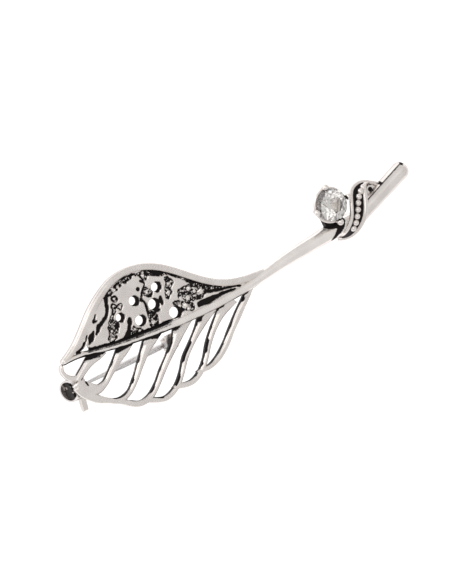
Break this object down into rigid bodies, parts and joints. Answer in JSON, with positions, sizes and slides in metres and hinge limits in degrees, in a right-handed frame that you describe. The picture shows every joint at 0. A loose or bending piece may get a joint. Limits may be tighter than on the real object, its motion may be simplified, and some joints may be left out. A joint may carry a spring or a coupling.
{
  "type": "leaf brooch",
  "caption": "Openwork silver leaf brooch with a pierced solid half, a claw-set clear stone and beaded wrap on its stem, hinged pin and rotary safety catch.",
  "frame": {"origin": "centre of the overall box in plan, at the height of the lowest point of the catch", "axes": "+X from the leaf's tip to the tail, +Y towards the solid half of the leaf, +Z away from the wearer"},
  "size_m": [0.0646, 0.0209, 0.0084],
  "materials": {
    "polished_silver": "polished silver, darkened in its recesses",
    "oxidised_silver": "silver with a black oxidised ground",
    "pin_steel": "bright hard-drawn wire",
    "clear_stone": "faceted clear stone"
  },
  "bodies": {
    "brooch": {"stem": "polished_silver", "leaf_rim": "polished_silver", "leaf_panel": "oxidised_silver", "rib_1": "polished_silver", "rib_2": "polished_silver", "rib_3": "polished_silver", "rib_4": "polished_silver", "rib_5": "polished_silver", "rib_6": "polished_silver", "rib_7": "polished_silver", "tip_bow": "polished_silver", "tail": "polished_silver", "wrap_band": "oxidised_silver", "wrap_web": "oxidised_silver", "wrap_rail_outer": "polished_silver", "wrap_rail_inner": "polished_silver", "wrap_bead_1": "polished_silver", "wrap_bead_2": "polished_silver", "wrap_bead_3": "polished_silver", "wrap_bead_4": "polished_silver", "wrap_bead_5": "polished_silver", "wrap_bead_6": "polished_silver", "wrap_bead_7": "polished_silver", "wrap_bead_8": "polished_silver", "setting_base": "oxidised_silver", "setting_ring_lower": "polished_silver", "setting_ring_upper": "polished_silver", "prong_1": "polished_silver", "prong_2": "polished_silver", "prong_3": "polished_silver", "prong_4": "polished_silver", "stone": "clear_stone", "hinge_joint": "polished_silver", "hinge_rivet": "polished_silver", "catch_housing": "polished_silver"},
    "pin": {"pin_stem": "pin_steel"},
    "lock": {"catch_rotor": "polished_silver"}
  },
  "joints": [
    {"name": "pin_hinge", "type": "hinge", "parent": "brooch", "child": "pin", "pos_m": [-0.0141, -0.00346, 0.00175], "axis": [-0.0576, -0.9983, 0], "range_deg": [0, 100]},
    {"name": "lock_turn", "type": "hinge", "parent": "brooch", "child": "lock", "pos_m": [-0.03087, -0.00249, 0.00175], "axis": [-0.9983, 0.0576, 0], "range_deg": [-85, 0]}
  ]
}
